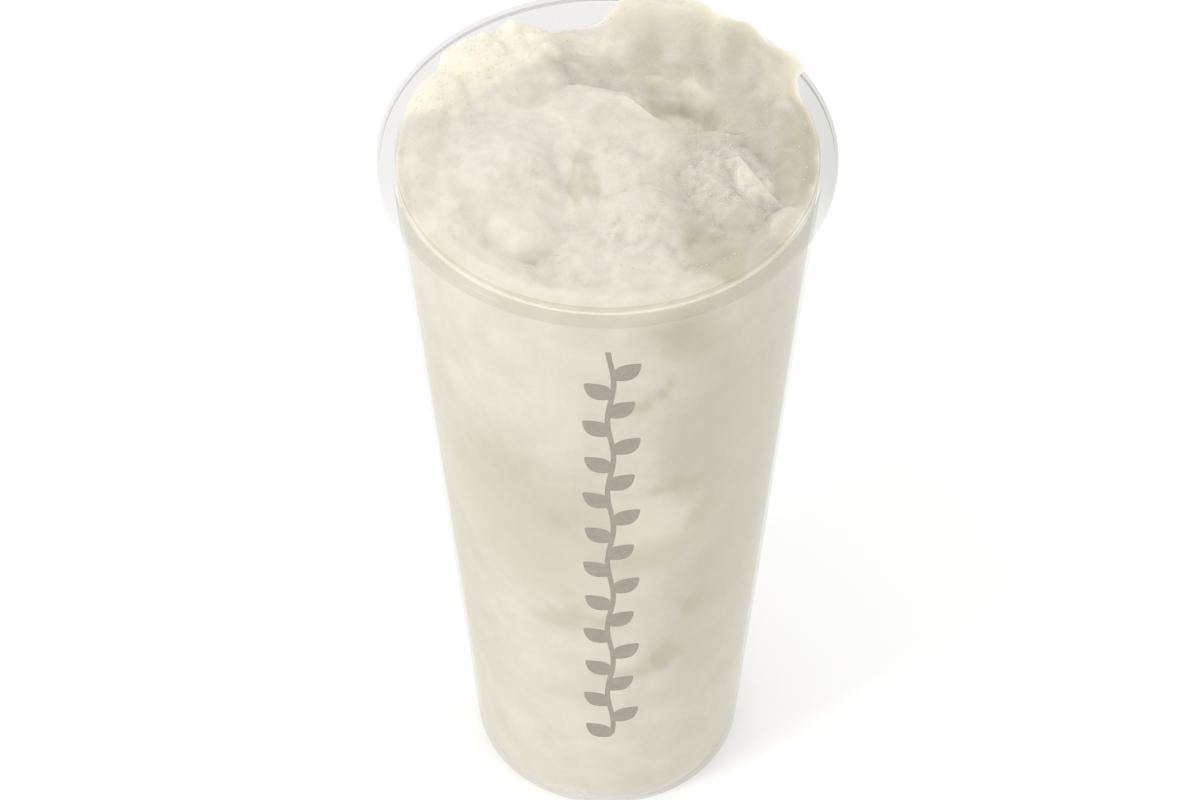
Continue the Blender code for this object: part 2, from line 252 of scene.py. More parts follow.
TOP_PATCHES = (
    Patch("cream", -23.0, 27.0, 17.0, 9.0, 24, 1.0),
    Patch("cream", -34.0, 16.0, 9.0, 9.0, 60, 0.9),
    Patch("shade", -37.0, -2.0, 18.0, 6.0, 84, 0.3),
    Patch("cream", 15.0, 37.0, 17.0, 4.5, -14, 0.3),
    Patch("cream", 35.0, 24.0, 12.0, 4.5, -52, 0.25),
    Patch("cream", -5.0, 34.5, 8.0, 2.5, -8, 0.6),
    Patch("melt", 5.0, 6.5, 12.0, 4.0, -32, 0.12),
    Patch("cream", 36.0, 20.0, 7.0, 6.0, 60, 0.3),
    Patch("melt", 7.0, -31.0, 6.5, 5.0, 80, 0.25),
    Patch("cream", 36.0, -19.0, 5.0, 4.0, 20, 0.2),
    Patch("cream", 14.0, 14.0, 10.5, 5.0, -26, 1.0),
    Patch("cream", 27.8, -9.2, 3.4, 4.4, -40, 0.45),
    Patch("melt", 10.5, 27.5, 11.0, 5.0, -10, 0.5),
    # Partly painted shade: the darker melt colour on the corner bank
    Patch("melt", 35.0, 26.0, 13.0, 5.5, -50, 0.35),
    Patch("shade", 12.0, 22.0, 18.0, 11.0, -20, 0.25),
    Patch("shade", 32.0, 27.0, 14.0, 8.0, -50, 1.0),
    Patch("shade", 15.0, 38.0, 17.0, 7.0, -10, 0.35),
    # Painted shadow beside the left lobe, in the melt colour
    Patch("melt", -5.0, -8.0, 10.0, 3.0, 85, 0.5),
    Patch("melt", -11.0, -31.0, 13.0, 5.0, -6, 0.18),
    Patch("melt", 37.5, 2.0, 16.0, 4.5, 84, 0.6),
    Patch("melt", 19.5, -27.0, 8.0, 6.0, -60, 0.8),
    Patch("shade", 26.0, -4.0, 34.0, 17.0, 84, 1.0),
    Patch("shade", -3.0, 24.0, 13.0, 7.0, -10, 0.6),
    Patch("ice", 23.0, -8.5, 12.5, 9.0, -62, 1.0),
    Patch("ice", 6.0, -20.0, 9.0, 7.0, 0, 0.4),
    Patch("ice", 30.0, -18.0, 8.0, 6.0, 20, 0.4),
)

# Cloudy streaks seen through the wall, and painted shade: the shade patches darken
# the right side and a little of the whole front, and the two tall melt bands at the
# far right and left darken the side's edges. x is the angle from the front in
# degrees, y the height in millimetres, and the lengths are millimetres
SIDE_PATCHES = (
    Patch("melt", -42.0, 103.0, 29.0, 24.0, -24, 0.95),
    Patch("cream", -34.0, 96.0, 24.0, 15.0, -24, 0.25),
    Patch("melt", -14.0, 107.0, 9.0, 2.5, -62, 0.85),
    Patch("melt", 20.0, 162.0, 11.5, 6.5, -12, 0.9),
    Patch("melt", 10.0, 147.5, 5.5, 2.0, 34, 1.0),
    Patch("melt", 21.0, 114.0, 12.0, 2.8, 8, 0.95),
    Patch("melt", 34.5, 102.5, 3.6, 8.0, -24, 1.0),
    Patch("melt", 18.0, 93.0, 12.0, 3.8, 14, 1.0),
    Patch("cream", 16.0, 100.0, 12.0, 10.0, 14, 0.4),
    Patch("melt", 31.8, 71.0, 4.6, 5.6, 0, 0.95),
    Patch("melt", 20.6, 52.6, 9.4, 3.8, 6, 1.0),
    Patch("melt", -12.0, 70.0, 10.0, 3.4, 0, 0.6),
    Patch("shade", 58.0, 104.0, 26.0, 88.0, 0, 1.0),
    Patch("shade", 36.0, 135.0, 16.0, 34.0, 0, 1.0),
    # Painted shade on the side's right and left edges, in the melt colour
    Patch("melt", 62.0, 90.0, 22.0, 95.0, 0, 0.5),
    Patch("melt", -76.0, 90.0, 17.0, 85.0, 0, 0.9),
    Patch("shade", -20.0, 88.0, 70.0, 90.0, 0, 0.14),
)

# The kinds of patches, and the spans of their outlines over which they fade. The
# shade kind is painted shade, and the melt kind is painted shade in places too.
KINDS = ("cream", "melt", "shade", "ice")
TOP_FADE = (0.55, 1.15)
SIDE_FADE = (0.2, 1.6)

# About how wide a degree of the wall is, in millimetres
DEGREE_WIDTH = 0.6

# Streaks of melt drawn for the sides and back that the front doesn't show
MORE_STREAKS = 16
STREAK_START = 78.0
STREAK_RANGE = 204.0
STREAK_JITTER = 0.7
STREAK_HEIGHTS = (24.0, 160.0)
STREAK_TURNS = (-35.0, 35.0)
STREAK_LENGTHS = (5.0, 16.0)
STREAK_WIDTHS = (1.6, 7.0)
STREAK_STRENGTHS = (0.3, 0.8)

# Loose crystals: where most of them lie, how likely they are elsewhere, their
# radii in millimetres, how long and flat they are, and how far they stand out
SPARKLE = Patch("ice", 23.5, -12.5, 4.0, 2.6, 20, 1.0)
SPARKLE_FADE = (0.3, 1.2)
LEAST_LIKELY = 0.03
LIKELY_ICE = 0.25
LIKELY_CREAM = 0.15
GRAIN_INSET = 0.001
GRAIN_RADII = (0.07, 0.2)
GRAIN_LONG = (0.8, 1.5)
GRAIN_FLAT = (0.5, 0.9)
GRAIN_LIFT = 0.25
GRAIN_BATCH = 60

# Noise in the materials, by its scale per metre
Speckle = namedtuple("Speckle", "scale detail roughness")

CLOUDS = Speckle(95.0, 4.0, 0.55)
WISPS = Speckle(420.0, 3.0, 0.6)
SPECKS = Speckle(2600.0, 2.0, 0.6)
COARSE_ICE = Speckle(900.0, 3.0, 0.6)
FINE_ICE = Speckle(3200.0, 2.0, 0.7)
HAZE = Speckle(160.0, 3.0, 0.6)
INK_MOTTLE = Speckle(700.0, 3.0, 0.6)
PAPER_TOOTH = Speckle(60.0, 4.0, 0.6)
CRYSTAL_MOTTLE = Speckle(700.0, 2.0, 0.5)

# How strongly clouds and wisps change the patches and the milk, what the patches
# cover, and how much of the specks shines, plain and by kind
PATCH_MOTTLE = (0.9, 0.4)
MILK_CLOUDS = (2.2, 0.5)
MILK_DIMNESS = 0.3
PATCH_UNEVEN = 0.8
PATCH_COVER = 0.9
SPECK_SPAN = (0.56, 0.72)
SPECK_COVER = 0.5
PLAIN_SPECKS = 0.15
ICE_SPECKS = 0.3
CREAM_SPECKS = 0.1

# The ice's optics, and how rough its surface is
ICE_IOR = 1.31
WET_ROUGHNESS = 0.42
COARSE_ROUGHNESS = 0.25
MELT_SMOOTHNESS = 0.12
COARSE_BUMP = 0.6
FINE_BUMP = 0.5

# The plastic bends light this much
PLASTIC_IOR = 1.4

# Ink, crystals and paper: the span of the noise over which their two colours
# change, how dim the second one is, and how rough they are, plain and by noise
INK_SPAN = (0.35, 0.75)
INK_DIMNESS = 0.88
INK_ROUGHNESS = (0.4, 0.15)
CRYSTAL_SPAN = (0.35, 0.7)
CRYSTAL_ROUGHNESS = (0.2, 0.2)
CRYSTAL_DEPTH = 0.3
PAPER_DIMNESS = 0.995

# The vine: shares of its width for a leaf, of its height for the stem and of a
# pair's height for its two leaves, and the leaf's lean and outline
LEAF_LENGTH = 0.64
LEAF_WIDTH = 0.44
LEAF_LEAN = 50.0
LEAF_FOOT = 0.35
LEAF_OFFSET = 0.25
LEAF_TAPER = 0.45
LEAF_POINT = 0.35
LEAST_POINT = 0.2
STEM_SHARE = 0.97
LONG_EDGE = 0.002

# The photograph's camera: its place in metres and its sensor in millimetres
CAMERA_PLACE = (0.0, -0.6420, 0.8249)
SENSOR_WIDTH = 36.0

# The two soft lights, each named as its power in the stage's settings. They are
# aimed at the cup's axis.
Lamp = namedtuple("Lamp", "name place size colour")

LAMPS = (
    Lamp("key", (-0.72, -0.46, 0.74), (0.30, 0.42), (1.0, 0.99, 0.97)),
    Lamp("fill", (0.80, -0.30, 0.66), (0.12, 0.50), (1.0, 1.0, 1.0)),
)
AIM_HEIGHT = RIM_HEIGHT * 0.7

# Half the width of the floor
FLOOR_SIZE = 3.0


def cup_settings():
    return bpy.context.scene.slush_cup


def slush_settings():
    return bpy.context.scene.slush_fill


def outer_radius(height):
    """Radius of the cup's straight outer wall at a height."""
    cup = cup_settings()
    slope = (cup.neck_radius - cup.base_radius) / (RIM_HEIGHT - NECK_DROP)
    return cup.base_radius + slope * height


def inner_radius(height):
    return outer_radius(height) - cup_settings().wall


def smooth_max(a, b, blend):
    """The greater of two heights, with a soft change from one to the other."""
    share = min(max(0.5 + 0.5 * (a - b) / blend, 0.0), 1.0)
    return b + (a - b) * share + blend * share * (1.0 - share)


def ease(value, low, high):
    """0 below low, 1 above high and a smooth step between."""
    share = min(max((value - low) / (high - low), 0.0), 1.0)
    return share * share * (3.0 - 2.0 * share)


def ellipse_distance(x, y, shape):
    """0 at the middle of a lump, hollow or patch and 1 on its outline."""
    turn = math.radians(shape.turn)
    dx = x - shape.x
    dy = y - shape.y
    along = dx * math.cos(turn) + dy * math.sin(turn)
    across = dy * math.cos(turn) - dx * math.sin(turn)
    return math.hypot(along / shape.half_length, across / shape.half_width)


def wave(x, y, size, cut):
    """Noise from -1 to 1, with waves of about the given size."""
    return noise.noise(Vector((x / size, y / size, cut)))


def ragged(x, y, waves):
    """Moves a point sideways wave by wave, so that outlines turn out uneven."""
    for size, amount in waves:
        shift_x, shift_y = [wave(x, y, size, cut) for cut in SHIFT_CUTS]
        x += shift_x * amount
        y += shift_y * amount
    return x, y


def lump_rise(distance):
    """A rounded top that is 1 at its middle and drops away outside."""
    if distance < 1.0:
        return math.sqrt(1.0 - distance ** LUMP_SQUARENESS)
    return OUTSIDE_SLOPE * (1.0 - distance)


def bank_rise(distance):
    """A flat top that runs out in an even slope."""
    return 1.0 - ease(distance, *BANK_SPAN)


def heap(height, x, y, lumps, rise, blend):
    """The height with lumps heaped on it."""
    for lump in lumps:
        share = rise(ellipse_distance(x, y, lump))
        height = smooth_max(height, lump.foot + (lump.top - lump.foot) * share, blend)
    return height


def dig(height, x, y):
    """The height with the hollows dug into it."""
    for hollow in HOLLOWS:
        distance = ellipse_distance(x, y, hollow)
        if distance < 1.0:
            bottom = hollow.floor * (1.0 - ease(distance, 1.0 - hollow.slope, 1.0))
            height = -smooth_max(-height, -bottom, HOLLOW_BLEND)
    return height


def open_level(x, y):
    """Height of the slush between the lumps."""
    basin = ease(y, *BASIN_START_Y) * (1.0 - ease(x, *BASIN_END_X))
    left = (1.0 - ease(x, *LEFT_END_X)) * (1.0 - ease(y, *LEFT_END_Y))
    return FRONT_LEVEL + (BASIN_LEVEL - FRONT_LEVEL) * basin * (1.0 - LEFT_SHARE * left)


def shard_height(x, y):
    """The pointed stone of ice: each face falls away from its top as a plane."""
    drop = 0.0
    for face in SHARD_FACES:
        angle = math.radians(face.turn)
        away = (x - SHARD.x) * math.cos(angle) + (y - SHARD.y) * math.sin(angle)
        drop = max(drop, (away - face.reach) * face.slope)
    return SHARD.top - drop


def spill_reach(x, y, height):
    """How far the slush laps out over the rim, in millimetres."""
    share = 1.0 - ease(ellipse_distance(x, y, SPILL), *SPILL_SPAN)
    outer = ease(math.hypot(x, y), *SPILL_RADII)
    return SPILL.reach * share * outer * ease(height, *SPILL_HEIGHTS)


def top_amounts(x, y):
    """How creamy, melted and icy the top is at a place, and how much shade is painted on it."""
    amounts = dict.fromkeys(KINDS, 0.0)
    for patch in TOP_PATCHES:
        distance = ellipse_distance(x, y, patch)
        amount = patch.strength * (1.0 - ease(distance, *TOP_FADE))
        amounts[patch.kind] = max(amounts[patch.kind], amount)
    return amounts


def top_height(x, y):
    """Height of the slush over the rim's plane, all in millimetres."""
    near_x, near_y = ragged(x, y, LUMP_WAVES)
    height = heap(open_level(x, y), near_x, near_y, LUMPS, lump_rise, LUMP_BLEND)
    banks = heap(BANK_FOOT, x, y, BANKS, bank_rise, BANK_JOIN)
    height = smooth_max(height, banks, BANK_BLEND)
    height = smooth_max(height, shard_height(x, y), SHARD_BLEND)
    for peak in PEAKS:
        away = math.hypot(near_x - peak.x, near_y - peak.y)
        if away < peak.radius:
            height = smooth_max(height, peak.top - away * PEAK_SLOPE, PEAK_BLEND)
    height = dig(height, near_x, near_y)
    height += BUMP_HEIGHT * wave(x, y, BUMP_SIZE, BUMP_CUT)
    radius = math.hypot(x, y)
    at_front_wall = ease(radius, *WALL_SPAN) * ease(-y, *WALL_FRONT_Y)
    height += (WALL_LEVEL + DROOP - height) * WALL_SHARE * at_front_wall
    banked = ease(y, *BANK_START_Y) * ease(x, *BANK_START_X)
    return height - DROOP * ease(radius, *DROOP_SPAN) * (1.0 - banked)


def fine_relief(x, y, amounts):
    """Grain of the ice on top of the lumps, in millimetres."""
    rough = PLAIN_GRAIN
    for kind, share in GRAIN_SHARES.items():
        rough += share * amounts[kind]
    grain = 0.0
    for size, high, cut in GRAIN_WAVES:
        grain += high * wave(x, y, size, cut)
    near = noise.voronoi(Vector((x / CRYSTAL_SIZE, y / CRYSTAL_SIZE, 0.0)))[0][0]
    crystal = CRYSTAL_HEIGHT * (CRYSTAL_EDGE - near) * (amounts["ice"] + PLAIN_CRYSTAL)
    return rough * grain + crystal


def arc(centre_r, centre_z, radius, start, end, steps):
    """Points of a round corner in the r, z plane, angles in degrees."""
    points = []
    for step in range(steps + 1):
        angle = math.radians(start + (end - start) * step / steps)
        r = centre_r + radius * math.cos(angle)
        z = centre_z + radius * math.sin(angle)
        points.append((r, z))
    return points


def turned_mesh(profile, steps):
    """A bmesh of an r, z profile spun right round Z."""
    bm = bmesh.new()
    vertices = [bm.verts.new((r, 0.0, z)) for r, z in profile]
    edges = [bm.edges.new(pair) for pair in zip(vertices, vertices[1:])]
    bmesh.ops.spin(
        bm,
        geom=vertices + edges,
        cent=(0.0, 0.0, 0.0),
        axis=(0.0, 0.0, 1.0),
        angle=math.tau,
        steps=steps,
        use_merge=True,
    )
    bmesh.ops.remove_doubles(bm, verts=bm.verts, dist=MERGE)
    bmesh.ops.recalc_face_normals(bm, faces=bm.faces)
    return bm


def finish_piece(bm, name, material, sharp_degrees):
    """Turns a bmesh into a shaded piece of the object."""
    mesh = bpy.data.meshes.new(name)
    bm.to_mesh(mesh)
    bm.free()
    mesh.shade_smooth()
    mesh.set_sharp_from_angle(angle=math.radians(sharp_degrees))
    mesh.materials.append(material)
    piece = bpy.data.objects.new(name, mesh)
    bpy.context.scene.collection.objects.link(piece)
    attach(piece, BODY)
    return piece


class Wire:
    """An output of a material's nodes that takes part in Python expressions."""

    def __init__(self, tree, socket=None):
        self.tree = tree
        self.socket = socket

    def node(self, kind, settings=None, inputs=None, output=0):
        """Adds a node: its settings come first, then its sockets are fed."""
        item = self.tree.nodes.new(kind)
        for name, value in (settings or {}).items():
            setattr(item, name, value)
        for name, value in (inputs or {}).items():
            self.feed(item.inputs[name], value)
        return Wire(self.tree, item.outputs[output])

    def feed(self, socket, value):
        """Links a wire to a socket, or sets the socket's own value."""
        if isinstance(value, Wire):
            self.tree.links.new(value.socket, socket)
        else:
            socket.default_value = value

    def math(self, operation, a, b=0.0, clamp=False):
        settings = {"operation": operation, "use_clamp": clamp}
        return self.node("ShaderNodeMath", settings, {0: a, 1: b})

    def blend(self, factor, first, second):
        """The shader that goes from first to second as the factor goes from 0 to 1."""
        return self.node("ShaderNodeMixShader", inputs={0: factor, 1: first, 2: second})

    def __add__(self, other):
        return self.math("ADD", self, other)

    def __radd__(self, other):
        return self.math("ADD", other, self)

    def __sub__(self, other):
        return self.math("SUBTRACT", self, other)

    def __rsub__(self, other):
        return self.math("SUBTRACT", other, self)

    def __mul__(self, other):
        return self.math("MULTIPLY", self, other)

    def __rmul__(self, other):
        return self.math("MULTIPLY", other, self)

    def clamped(self):
        return self.math("ADD", self, 0.0, clamp=True)

    def between(self, low, high):
        """0 below low, 1 above high and a smooth step between."""
        settings = {"interpolation_type": "SMOOTHSTEP"}
        inputs = {"Value": self, "From Min": low, "From Max": high}
        return self.node("ShaderNodeMapRange", settings, inputs)

    def mix(self, first, second):
        """The colour that goes from first to second as this goes from 0 to 1."""
        item = self.tree.nodes.new("ShaderNodeMix")
        item.data_type = "RGBA"
        self.feed(item.inputs["Factor"], self)
        self.feed(item.inputs[6], first)
        self.feed(item.inputs[7], second)
        return Wire(self.tree, item.outputs[2])


def new_material(name):
    """An empty node material, its wire maker and its output node."""
    material = bpy.data.materials.new(name)
    material.use_nodes = True
    tree = material.node_tree
    tree.nodes.clear()
    output = tree.nodes.new("ShaderNodeOutputMaterial")
    return material, Wire(tree), output


def rgba(colour):
    return (*tuple(colour)[:3], 1.0)


def object_noise(maker, speckle):
    """Noise over the object's own place."""
    place = maker.node("ShaderNodeTexCoord", output=3)
    inputs = {
        "Vector": place,
        "Scale": speckle.scale,
        "Detail": speckle.detail,
        "Roughness": speckle.roughness,
    }
    return maker.node("ShaderNodeTexNoise", inputs=inputs)


def uneven(cloud, wisp, strengths):
    """Broad clouds and fine wisps together, round 0."""
    return (cloud - 0.5) * strengths[0] + (wisp - 0.5) * strengths[1]


def slush_colour(maker):
    """Milky colour, tinted by the piece's patches, painted shade among them, and mottled by
    noise.
    """
    slush = slush_settings()
    amounts = {}
    for kind in KINDS:
        settings = {"attribute_name": kind}
        amounts[kind] = maker.node("ShaderNodeAttribute", settings, output=2)
    cloud = object_noise(maker, CLOUDS)
    wisp = object_noise(maker, WISPS)
    dimness = uneven(cloud, wisp, MILK_CLOUDS) + MILK_DIMNESS
    colour = dimness.clamped().mix(rgba(slush.milk), rgba(slush.milk_dim))
    mottle = uneven(cloud, wisp, PATCH_MOTTLE)
    # The painted shade goes on first, under ice, melt and cream
    for kind in ("shade", "ice", "melt", "cream"):
        amount = (amounts[kind] * (1.0 + mottle * PATCH_UNEVEN)).clamped()
        colour = (amount * PATCH_COVER).mix(colour, rgba(getattr(slush, kind)))
    icy = amounts["ice"] * ICE_SPECKS + amounts["cream"] * CREAM_SPECKS
    glitter = object_noise(maker, SPECKS).between(*SPECK_SPAN) * (PLAIN_SPECKS + icy)
    return (glitter * SPECK_COVER).clamped().mix(colour, rgba(slush.sparkle)), amounts


def slush_material():
    """Wet crushed ice: pale, soft and a little see-through."""
    slush = slush_settings()
    material, maker, output = new_material("wet_slush")
    colour, amounts = slush_colour(maker)
    coarse = object_noise(maker, COARSE_ICE)
    height = coarse * COARSE_BUMP + object_noise(maker, FINE_ICE) * FINE_BUMP
    bump = maker.node(
        "ShaderNodeBump",
        inputs={"Height": height, "Strength": 0.35, "Distance": 0.0003},
    )
    roughness = WET_ROUGHNESS + coarse * COARSE_ROUGHNESS - amounts["melt"] * MELT_SMOOTHNESS
    shader = maker.node(
        "ShaderNodeBsdfPrincipled",
        inputs={
            "Base Color": colour,
            "Roughness": roughness,
            "Normal": bump,
            "IOR": ICE_IOR,
            "Specular IOR Level": 0.45,
            "Subsurface Weight": 0.8,
            "Subsurface Radius": (1.0, 0.9, 0.75),
            "Subsurface Scale": slush.soft_depth,
        },
    )
    maker.feed(output.inputs["Surface"], shader)
    return material


def plastic_material():
    """Clear plastic that lamps and the light of the slush pass straight through."""
    cup = cup_settings()
    material, maker, output = new_material("clear_plastic")
    haze = object_noise(maker, HAZE)
    bump = maker.node(
        "ShaderNodeBump",
        inputs={"Height": haze, "Strength": 0.03, "Distance": 0.0005},
    )
    gloss = maker.node(
        "ShaderNodeBsdfGlossy",
        inputs={"Color": rgba(cup.shine), "Roughness": 0.12, "Normal": bump},
    )
    place = maker.node("ShaderNodeTexCoord", output=3)
    right, back, height = [
        maker.node("ShaderNodeSeparateXYZ", inputs={"Vector": place}, output=axis)
        for axis in range(3)
    ]
    # The flange is tinted more, and so is the band under the rim towards the back, as painted
    # shade
    flange = (right * right + back * back).between(*[radius ** 2 for radius in FLANGE_RADII])
    flange_and_shade_band = maker.math("MAXIMUM", flange, back.between(*SHADE_BAND_Y) * height.between(*SHADE_BAND_HEIGHTS))
    thin, back_rim_shade, right_rim_shade, front_rim = [
        maker.node("ShaderNodeBsdfTransparent", inputs={"Color": rgba(tint)})
        for tint in (cup.tint, cup.back_shade_tint, cup.right_shade_tint, cup.front_tint)
    ]
    # Painted shade: the rim is darker at the back and darker still at the right; the front keeps
    # a light tint
    rim = maker.blend(right.between(*RIGHT_SHADE_X), back_rim_shade, right_rim_shade)
    rim = maker.blend(back.between(*BACK_SHADE_Y), front_rim, rim)
    tinted = maker.blend(flange_and_shade_band, thin, rim)
    clear = maker.node("ShaderNodeBsdfTransparent")
    outside = 1.0 - maker.node("ShaderNodeNewGeometry", output="Backfacing")
    fresnel = maker.node("ShaderNodeFresnel", inputs={"IOR": PLASTIC_IOR, "Normal": bump})
    skin = maker.blend(fresnel * outside, tinted, gloss)
    shadow = maker.node("ShaderNodeLightPath", output="Is Shadow Ray")
    diffuse = maker.node("ShaderNodeLightPath", output="Is Diffuse Ray")
    passes = maker.math("MAXIMUM", shadow, diffuse)
    shader = maker.blend(passes, skin, clear)
    maker.feed(output.inputs["Surface"], shader)
    return material


def ink_material():
    """Warm grey ink with faint mottling, as printed on plastic."""
    material, maker, output = new_material("grey_ink")
    ink = bpy.context.scene.slush_print.ink
    grain = object_noise(maker, INK_MOTTLE)
    dim = [channel * INK_DIMNESS for channel in ink]
    colour = grain.between(*INK_SPAN).mix(rgba(ink), rgba(dim))
    plain, by_noise = INK_ROUGHNESS
    shader = maker.node(
        "ShaderNodeBsdfPrincipled",
        inputs={"Base Color": colour, "Roughness": plain + grain * by_noise},
    )
    maker.feed(output.inputs["Surface"], shader)
    return material


def floor_material():
    """Near-white matt paper sweep."""
    material, maker, output = new_material("pale_floor")
    colour = bpy.context.scene.slush_stage.floor
    tooth = object_noise(maker, PAPER_TOOTH)
    dim = [channel * PAPER_DIMNESS for channel in colour]
    shader = maker.node(
        "ShaderNodeBsdfPrincipled",
        inputs={"Base Color": tooth.mix(rgba(colour), rgba(dim)), "Roughness": 0.9},
    )
    maker.feed(output.inputs["Surface"], shader)
    return material


def cup_profile():
    """The cup's section: up the inside, over the rim and down the outside."""
    floor_top = FOOT_DEPTH + FLOOR_THICKNESS
    corner_z = floor_top + INNER_CORNER
    corner_r = inner_radius(corner_z) - INNER_CORNER
    points = [(0.0, floor_top), (corner_r * 0.5, floor_top)]
    points += arc(corner_r, corner_z, INNER_CORNER, -90, 0, steps=10)
    points.append((inner_radius(RIM_HEIGHT * 0.5), RIM_HEIGHT * 0.5))
    mouth = inner_radius(RIM_HEIGHT - LIP)
    points += arc(mouth + LIP, RIM_HEIGHT - LIP, LIP, 180, 90, steps=6)
    points += arc(RIM_RADIUS - RIM_EDGE, RIM_HEIGHT - RIM_EDGE, RIM_EDGE, 90, 0, steps=8)
    half = RIM_SKIRT / 2
    points += arc(RIM_RADIUS - half, RIM_HEIGHT - RIM_DEPTH + half, half, 0, -180, steps=8)
    under = RIM_HEIGHT - RIM_PLATE
    points.append((RIM_RADIUS - RIM_SKIRT, under))
    points += arc(outer_radius(under) + RIM_SKIRT, under - RIM_SKIRT, RIM_SKIRT, 90, 180, steps=6)
    points.append((outer_radius(RIM_HEIGHT * 0.5), RIM_HEIGHT * 0.5))
    base_r = outer_radius(BASE_CORNER) - BASE_CORNER
    points += arc(base_r, BASE_CORNER, BASE_CORNER, 0, -90, steps=10)
    foot_inner = outer_radius(0.0) - BASE_CORNER - FOOT_WIDTH
    points += arc(foot_inner, FOOT_DEPTH, FOOT_DEPTH, -90, -180, steps=4)
    points.append((0.0, FOOT_DEPTH))
    return points


def slush_profile():
    """The slush's section: out over the flat top, down the wall, in below."""
    floor = FOOT_DEPTH + FLOOR_THICKNESS - INTO_WALL
    corner_z = floor + INNER_CORNER
    corner_r = inner_radius(corner_z) + INTO_WALL - INNER_CORNER
    top_radius = inner_radius(RIM_HEIGHT) + INTO_WALL
    points = []
    for ring in range(TOP_RINGS + 1):
        points.append((top_radius * ring / TOP_RINGS, RIM_HEIGHT))
    points.append((top_radius, RIM_HEIGHT - SPILL_UNDER))
    side_top = RIM_HEIGHT - SIDE_TOP_DROP
    for ring in range(SIDE_RINGS):
        height = side_top + (corner_z - side_top) * ring / SIDE_RINGS
        points.append((inner_radius(height) + INTO_WALL, height))
    points += arc(corner_r, corner_z, INNER_CORNER, 0, -90, steps=8)
    points += [(corner_r * 0.5, floor), (0.0, floor)]
    return points


def side_patches():
    """The streaks that the front shows and like ones for the rest of the side."""
    draw = random.Random(slush_settings().seed)
    patches = list(SIDE_PATCHES)
    for index in range(MORE_STREAKS):
        place = index + draw.random() * STREAK_JITTER
        angle = STREAK_START + STREAK_RANGE * place / MORE_STREAKS
        height = draw.uniform(*STREAK_HEIGHTS)
        turn = draw.uniform(*STREAK_TURNS)
        length = draw.uniform(*STREAK_LENGTHS)
        width = draw.uniform(*STREAK_WIDTHS)
        strength = draw.uniform(*STREAK_STRENGTHS)
        patches.append(Patch("melt", angle, height, length, width, turn, strength))
    return patches


def side_amounts(place, patches):
    """The patches' amounts on the side, where angles become arc lengths."""
    radius = place.xy.length
    angle = math.degrees(math.atan2(place.x, -place.y))
    height = place.z / MM
    waver_x, waver_y = ragged(angle * DEGREE_WIDTH, height, SIDE_WAVES)
    shift_x = waver_x - angle * DEGREE_WIDTH
    amounts = dict.fromkeys(KINDS, 0.0)
    for patch in patches:
        turn_away = (angle - patch.x + 180.0) % 360.0 - 180.0
        arc_length = math.radians(turn_away) * radius / MM + shift_x
        moved = patch._replace(x=0.0)
        distance = ellipse_distance(arc_length, waver_y, moved)
        amount = patch.strength * (1.0 - ease(distance, *SIDE_FADE))
        amounts[patch.kind] = max(amounts[patch.kind], amount)
    return amounts


def set_amounts(mesh, amounts):
    """Stores the patch amounts of each point as the mesh's attributes."""
    for kind in KINDS:
        layer = mesh.attributes.new(kind, "FLOAT", "POINT")
        values = [point[kind] for point in amounts]
        layer.data.foreach_set("value", np.array(values, dtype=np.float32))


def make_slush():
    """The turned body of slush with its top moved into lumps and grain."""
    bm = turned_mesh(slush_profile(), SLUSH_STEPS)
    bm.verts.ensure_lookup_table()
    patches = side_patches()
    amounts = []
    for vertex in bm.verts:
        if vertex.co.z < RIM_HEIGHT - SPILL_UNDER - MERGE:
            amounts.append(side_amounts(vertex.co, patches))
            continue
        under = vertex.co.z < RIM_HEIGHT - MERGE
        x, y = vertex.co.xy / MM
        tints = top_amounts(*ragged(x, y, PATCH_WAVES))
        amounts.append(tints)
        height = top_height(x, y) + fine_relief(x, y, tints)
        reach = spill_reach(x, y, height)
        if under:
            height = min(height - SPILL_THICKNESS, RIM_GAP)
            reach = 0.0
        vertex.co.z = RIM_HEIGHT + height * MM
        limit = inner_radius(min(vertex.co.z, RIM_HEIGHT)) + INTO_WALL
        radius = vertex.co.xy.length
        if radius > 0.0:
            vertex.co.xy = vertex.co.xy * ((min(radius, limit) + reach * MM) / radius)
    piece = finish_piece(bm, "slush_fill", slush_material(), sharp_degrees=75)
    set_amounts(piece.data, amounts)
    return piece


